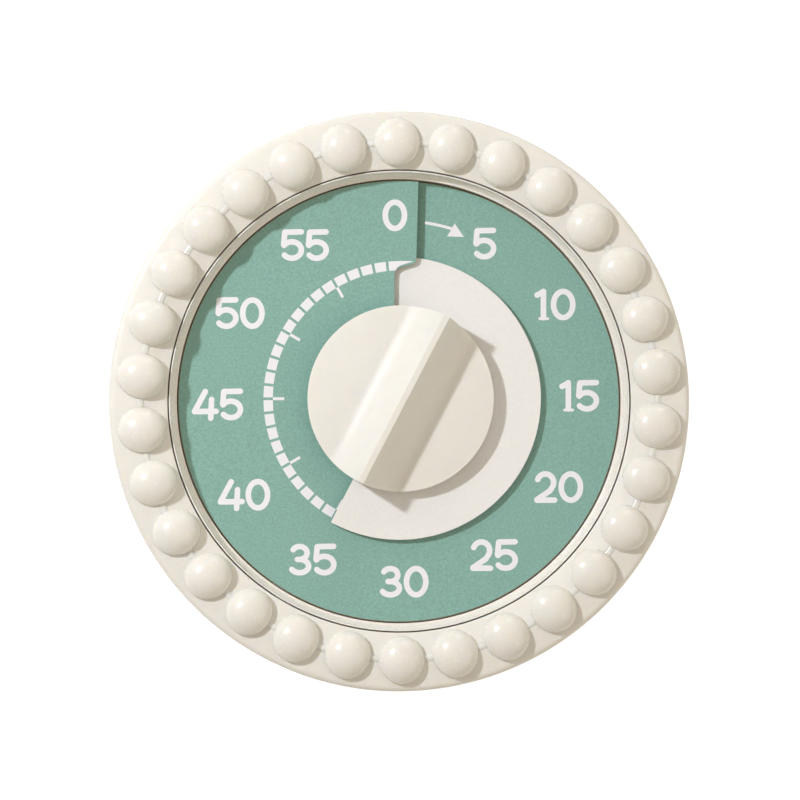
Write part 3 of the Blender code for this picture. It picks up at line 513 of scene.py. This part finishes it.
def add_number(bm, number, centre):
    """An upright number, centred on a plan point."""
    digits = str(number)
    width = sum(2 * FIGURES[digit][0] for digit in digits) + FIGURE_SPACE * (len(digits) - 1)
    x = -width / 2
    order = 0
    for digit in digits:
        half, strokes = FIGURES[digit]
        x += half
        for index, stroke in enumerate(strokes):
            points = [(centre[0] + (x + px) * FIGURE_HEIGHT, centre[1] + (py - 0.5) * FIGURE_HEIGHT)
                      for px, py in stroke]
            thin = digit == "1" and index == 2
            half_width = (FOOT_STROKE if thin else FIGURE_STROKE) * FIGURE_HEIGHT
            add_stroke(bm, points, half_width, PRINT_LIFT + STROKE_LIFT * order)
            order += 1
        x += half + FIGURE_SPACE


def make_figures(material):
    bm = bmesh.new()
    for number in range(0, 60, 5):
        angle = math.radians(6 * number) + FIGURE_LEAD
        x, y = dial_point(FIGURE_RADII.get(number, FIGURE_RADIUS), angle)
        add_number(bm, number, (x + FIGURE_SHIFT[0], y + FIGURE_SHIFT[1]))
    make_piece("dial_figures", bm, material, "root", smooth=False)


def add_patch(bm, inner, outer, start, end, steps=4):
    """A block of the minute ring: start and end are functions of the radius."""
    rows = []
    for i in range(5):
        radius = inner + (outer - inner) * i / 4
        row = []
        for j in range(steps + 1):
            angle = start(radius) + (end(radius) - start(radius)) * j / steps
            x, y = dial_point(radius, angle)
            place = (x + MINUTE_RING_CENTRE[0], y + MINUTE_RING_CENTRE[1], helix_z(angle) + PRINT_LIFT)
            row.append(bm.verts.new(place))
        rows.append(row)
    for low, high in zip(rows, rows[1:]):
        for j in range(steps):
            bm.faces.new((low[j], low[j + 1], high[j + 1], high[j]))


def make_minute_ring(material):
    """One block a minute with a fine gap between them, and a bar inward at every five."""
    bm = bmesh.new()
    for minute in range(60):
        start = math.radians(6 * minute)
        end = start + math.radians(6)

        def opening(radius, edge=start):
            return edge + MINUTE_GAP / 2 / radius

        def closing(radius, edge=end, last=minute == 59):
            if last:
                return slit_end(radius) - LAST_MINUTE_GAP / radius
            return edge - MINUTE_GAP / 2 / radius

        add_patch(bm, *MINUTE_RING, opening, closing)
    for mark in range(1, 12):
        middle = math.radians(30 * mark)
        add_patch(bm, *FIVE_BAR, lambda radius, m=middle: m - FIVE_BAR_HALF_WIDTH / radius,
                  lambda radius, m=middle: m + FIVE_BAR_HALF_WIDTH / radius, 1)
    make_piece("dial_minute_ring", bm, material, "root", smooth=False)


def make_arrow(material):
    """Arrow that shows the winding direction, from 0 towards 5."""
    bm = bmesh.new()
    angles = [math.radians(ARROW_START + ARROW_SWEEP * i / 12) for i in range(13)]
    add_stroke(bm, [dial_point(ARROW_RADIUS, angle) for angle in angles], ARROW_HALF_WIDTH, PRINT_LIFT)
    head = [dial_point(radius, math.radians(angle)) for radius, angle in ARROW_HEAD]
    bm.faces.new([bm.verts.new((x, y, dial_height(x, y) + PRINT_LIFT + STROKE_LIFT)) for x, y in head])
    make_piece("dial_arrow", bm, material, "root", smooth=False)


# ---------------------------------------------------------------- knob

def ridge_section():
    """Section across the grip: flat top, hollowed flanks, and the thin disc either side."""
    steps = 28
    height = RIDGE_TOP_Z - KNOB_RIM_Z
    flank = []
    for i in range(steps + 1):
        share = i / steps
        flank.append((RIDGE_HALF_WIDTH + RIDGE_FLANK * share,
                      KNOB_RIM_Z + height * (1 - share) ** RIDGE_HOLLOW))
    edge = KNOB_RADIUS + 2
    base = [(-edge, KNOB_RIM_Z), (-edge, KNOB_FOOT_Z), (edge, KNOB_FOOT_Z), (edge, KNOB_RIM_Z)]
    right = [(RIDGE_OFFSET + x, z) for x, z in reversed(flank)]
    return base + right + [(RIDGE_OFFSET - x, z) for x, z in flank]


def make_knob(material):
    """Round blank cut to the ridge's section, with its edges broken."""
    rim = KNOB_RADIUS
    blank = turned([(0, KNOB_FOOT_Z), (rim - 0.2, KNOB_FOOT_Z), (rim, KNOB_FOOT_Z + 0.2),
                    (rim, RIDGE_TOP_Z + 1), (0, RIDGE_TOP_Z + 1)])
    knob = make_piece("knob_fine", blank, material, "knob", "knob", sharp=30)
    reach = KNOB_RADIUS + 2
    bm = bmesh.new()
    face = bm.faces.new([bm.verts.new((x, -reach, z)) for x, z in ridge_section()])
    raised = bmesh.ops.extrude_face_region(bm, geom=[face])["geom"]
    ends = [item for item in raised if isinstance(item, bmesh.types.BMVert)]
    bmesh.ops.translate(bm, vec=(0, 2 * reach, 0), verts=ends)
    bmesh.ops.rotate(bm, verts=bm.verts, matrix=Matrix.Rotation(-RIDGE_ANGLE, 3, "Z"))
    bar = make_piece("knob_bar", bm, material, "knob")
    cut = knob.modifiers.new("section", "BOOLEAN")
    cut.operation = "INTERSECT"
    cut.object = bar
    bevel = knob.modifiers.new("edges", "BEVEL")
    bevel.width = KNOB_EDGE * MM
    bevel.segments = 3
    bevel.limit_method = "ANGLE"
    bevel.angle_limit = math.radians(35)
    finished = knob.evaluated_get(bpy.context.evaluated_depsgraph_get())
    shown = bpy.data.meshes.new_from_object(finished)
    shown.shade_smooth()
    shown.set_sharp_from_angle(angle=math.radians(35))
    knob.modifiers.clear()
    shown.transform(Matrix.Translation((KNOB_CENTRE[0] * MM, KNOB_CENTRE[1] * MM, 0)))
    knob.data = shown
    bpy.data.objects.remove(bar, do_unlink=True)


# ---------------------------------------------------------------- materials

def new_material(name):
    material = bpy.data.materials.new(name)
    material.use_nodes = True
    return material, material.node_tree, material.node_tree.nodes["Principled BSDF"]


def add_noise(tree, scale, detail=4.0, roughness=0.6):
    coords = tree.nodes.new("ShaderNodeTexCoord")
    noise = tree.nodes.new("ShaderNodeTexNoise")
    noise.inputs["Scale"].default_value = scale
    noise.inputs["Detail"].default_value = detail
    noise.inputs["Roughness"].default_value = roughness
    tree.links.new(coords.outputs["Object"], noise.inputs["Vector"])
    return noise


def add_ramp(tree, source, low, high, low_colour, high_colour):
    ramp = tree.nodes.new("ShaderNodeValToRGB")
    ramp.color_ramp.elements[0].position = low
    ramp.color_ramp.elements[1].position = high
    ramp.color_ramp.elements[0].color = (*low_colour, 1)
    ramp.color_ramp.elements[1].color = (*high_colour, 1)
    tree.links.new(source, ramp.inputs["Fac"])
    return ramp


def shade(colour, factor):
    return tuple(channel * factor for channel in colour)


def add_bump(tree, shader, source, height, strength=1.0):
    bump = tree.nodes.new("ShaderNodeBump")
    bump.inputs["Distance"].default_value = height * MM
    bump.inputs["Strength"].default_value = strength
    tree.links.new(source, bump.inputs["Height"])
    tree.links.new(bump.outputs["Normal"], shader.inputs["Normal"])


def plastic(name, colour, roughness, grain_mm, grain_height, mottle=0.03, soft=0.0, mottle_mm=2.2):
    """Moulded plastic: slight colour mottle, a spark-eroded grain, and varying gloss."""
    material, tree, shader = new_material(name)
    mottle_noise = add_noise(tree, 1 / (mottle_mm * MM), 5.0)
    ramp = add_ramp(tree, mottle_noise.outputs["Fac"], 0.3, 0.7,
                    shade(colour, 1 - mottle), shade(colour, 1 + mottle))
    tree.links.new(ramp.outputs["Color"], shader.inputs["Base Color"])
    grain = add_noise(tree, 1 / (grain_mm * MM), 3.0)
    gloss = add_ramp(tree, grain.outputs["Fac"], 0.35, 0.65, (roughness - 0.05,) * 3, (roughness + 0.05,) * 3)
    tree.links.new(gloss.outputs["Color"], shader.inputs["Roughness"])
    add_bump(tree, shader, grain.outputs["Fac"], grain_height)
    shader.inputs["IOR"].default_value = 1.49
    if soft:
        shader.inputs["Subsurface Weight"].default_value = soft
        shader.inputs["Subsurface Radius"].default_value = (1.0, 0.75, 0.45)
        shader.inputs["Subsurface Scale"].default_value = 0.9 * MM
    return material


def metal(name, colour, roughness, scratch_mm, stretch):
    """Stamped or turned metal with fine directional scratches."""
    material, tree, shader = new_material(name)
    coords = tree.nodes.new("ShaderNodeTexCoord")
    mapping = tree.nodes.new("ShaderNodeMapping")
    mapping.inputs["Scale"].default_value = stretch
    noise = tree.nodes.new("ShaderNodeTexNoise")
    noise.inputs["Scale"].default_value = 1 / (scratch_mm * MM)
    noise.inputs["Detail"].default_value = 4.0
    tree.links.new(coords.outputs["Object"], mapping.inputs["Vector"])
    tree.links.new(mapping.outputs["Vector"], noise.inputs["Vector"])
    ramp = add_ramp(tree, noise.outputs["Fac"], 0.3, 0.7, shade(colour, 0.88), shade(colour, 1.06))
    tree.links.new(ramp.outputs["Color"], shader.inputs["Base Color"])
    gloss = add_ramp(tree, noise.outputs["Fac"], 0.3, 0.7, (roughness - 0.07,) * 3, (roughness + 0.09,) * 3)
    tree.links.new(gloss.outputs["Color"], shader.inputs["Roughness"])
    add_bump(tree, shader, noise.outputs["Fac"], 0.01, 0.4)
    shader.inputs["Metallic"].default_value = 1.0
    return material


def dress_cad_nodes():
    """Give every CAD node that stays a material of its own kind."""
    brass = metal("brass", (0.78, 0.56, 0.25), 0.28, 0.5, (1, 6, 1))
    steel = metal("steel", (0.62, 0.62, 0.63), 0.3, 0.4, (1, 1, 6))
    plate = metal("plate_steel", (0.66, 0.66, 0.66), 0.35, 0.6, (8, 1, 1))
    blued = metal("spring_steel", (0.2, 0.23, 0.3), 0.25, 0.5, (1, 1, 8))
    bell = metal("bell_steel", (0.72, 0.71, 0.68), 0.16, 0.8, (1, 1, 3))
    cream = plastic("cream_back", CREAM, 0.42, 0.25, 0.02)
    special = {
        "mainspring": blued,
        "bell": bell,
        "movement_front_plate": plate,
        "movement_back_plate": plate,
        "back_cover": cream,
    }
    brass_nodes = ("main_wheel", "second_wheel", "third_wheel", "escape_wheel", "pallet_anchor",
                   "spring_post", "bell_post", "hammer_head", "pillar_1", "pillar_2", "pillar_3")
    for name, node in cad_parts.items():
        material = special.get(name, brass if name in brass_nodes else steel)
        for holder in node.material_slots:
            holder.material = material


# ---------------------------------------------------------------- stage, light, camera

def make_floor():
    """Pale floor that glows a little, so that it stays near white beside the timer."""
    bm = bmesh.new()
    bmesh.ops.create_grid(bm, x_segments=1, y_segments=1, size=FLOOR_HALF_SIZE)
    bmesh.ops.translate(bm, vec=(0, 0, FLOOR_Z), verts=bm.verts)
    bmesh.ops.scale(bm, vec=(MM, MM, MM), verts=bm.verts)
    mesh = bpy.data.meshes.new("floor")
    bm.to_mesh(mesh)
    bm.free()
    floor = bpy.data.objects.new("floor", mesh)
    bpy.context.scene.collection.objects.link(floor)
    material, _, shader = new_material("floor_white")
    shader.inputs["Base Color"].default_value = (0.5, 0.5, 0.5, 1)
    shader.inputs["Roughness"].default_value = 0.9
    shader.inputs["Specular IOR Level"].default_value = 0.0
    shader.inputs["Emission Color"].default_value = (1, 1, 1, 1)
    shader.inputs["Emission Strength"].default_value = FLOOR_GLOW
    mesh.materials.append(material)
    floor.visible_diffuse = False


def direction(azimuth, elevation):
    """Unit vector towards a light: azimuth anticlockwise from +X, both in degrees."""
    a, e = math.radians(azimuth), math.radians(elevation)
    return Vector((math.cos(a) * math.cos(e), math.sin(a) * math.cos(e), math.sin(e)))


def add_area_light(name, azimuth, elevation, distance, size, power, colour=(1, 1, 1)):
    light = bpy.data.lights.new(name, "AREA")
    light.shape = "DISK"
    light.size = size * MM
    light.energy = power
    light.color = colour
    obj = bpy.data.objects.new(name, light)
    towards = direction(azimuth, elevation)
    obj.location = towards * distance * MM + Vector((0, 0, CREST_Z * MM))
    obj.rotation_euler = towards.to_track_quat("Z", "Y").to_euler()
    obj.visible_camera = False
    bpy.context.scene.collection.objects.link(obj)


def make_world(strength, bright_azimuth):
    """Even sky, a little brighter towards one side of the horizon."""
    world = bpy.data.worlds.new("studio")
    world.use_nodes = True
    tree = world.node_tree
    coords = tree.nodes.new("ShaderNodeTexCoord")
    dot = tree.nodes.new("ShaderNodeVectorMath")
    dot.operation = "DOT_PRODUCT"
    dot.inputs[1].default_value = direction(bright_azimuth, 15)
    tree.links.new(coords.outputs["Generated"], dot.inputs[0])
    ramp = add_ramp(tree, dot.outputs["Value"], 0.0, 1.0, (1.0, 0.92, 0.78), (1.0, 0.94, 0.82))
    tree.links.new(ramp.outputs["Color"], tree.nodes["Background"].inputs["Color"])
    tree.nodes["Background"].inputs["Strength"].default_value = strength
    bpy.context.scene.world = world


def make_camera(distance, aside, below, view_width):
    """Camera above the dial, a little to the left of and below its centre, with +Y up."""
    camera = bpy.data.cameras.new("camera")
    camera.lens = camera.sensor_width * distance / view_width
    camera.clip_start = 0.01
    camera.clip_end = 20
    obj = bpy.data.objects.new("camera", camera)
    target = Vector((0.1, 0.12, CREST_Z - 1)) * MM
    back = Vector((aside, below, math.sqrt(distance ** 2 - aside ** 2 - below ** 2))) / distance
    right = Vector((0, 1, 0)).cross(back).normalized()
    up = back.cross(right)
    turn = Matrix((right, up, back)).transposed().to_4x4()
    obj.matrix_world = Matrix.Translation(target + back * distance * MM) @ turn
    bpy.context.scene.collection.objects.link(obj)
    bpy.context.scene.camera = obj


def build():
    flange = plastic("cream_flange", CREAM, 0.4, 0.22, 0.035, 0.02, 0.3)
    pearl = plastic("cream_pearl", CREAM, 0.24, 0.5, 0.004, 0.012, 0.3)
    trim = plastic("cream_trim", TRIM_CREAM, 0.3, 0.3, 0.01, 0.015, 0.3)
    knob = plastic("ivory_knob", IVORY, 0.4, 0.18, 0.03, 0.015, 0.35)
    dial = plastic("green_dial", GREEN, 0.55, 0.18, 0.02, 0.16, mottle_mm=0.3)
    # Material for the painted shade of the gap under the trim ring's lip.
    gap_shade_paint = plastic("painted_gap_shade", GAP_SHADE_BROWN, 0.7, 0.2, 0.01, 0.1)
    disc = plastic("white_disc", WHITE_DISC, 0.5, 0.25, 0.012, 0.03, 0.12, mottle_mm=0.4)
    ink = plastic("white_ink", PRINT_WHITE, 0.5, 0.15, 0.004, 0.015)
    shell = plastic("cream_case", CREAM, 0.4, 0.25, 0.02, 0.02)
    dress_cad_nodes()
    make_flange(flange)
    make_beads(pearl)
    make_links(pearl)
    make_trim_ring(trim)
    make_case(shell)
    make_dial(dial, gap_shade_paint)
    make_time_disc(disc)
    make_figures(ink)
    make_minute_ring(ink)
    make_arrow(ink)
    make_knob(knob)
    make_floor()
    make_world(0.49, 60)
    add_area_light("key", 148, 43, 550, 36, 2.22, (0.9, 0.93, 1.0))
    add_area_light("right_fill", -25, 30, 900, 700, 1.4, (1.0, 0.92, 0.8))
    add_area_light("low_softbox", 75, 18, 900, 320, 1.1, (1.0, 0.98, 0.95))
    make_camera(600, -10, -10, 118.4)
    bpy.context.scene.view_settings.view_transform = "Standard"


build()
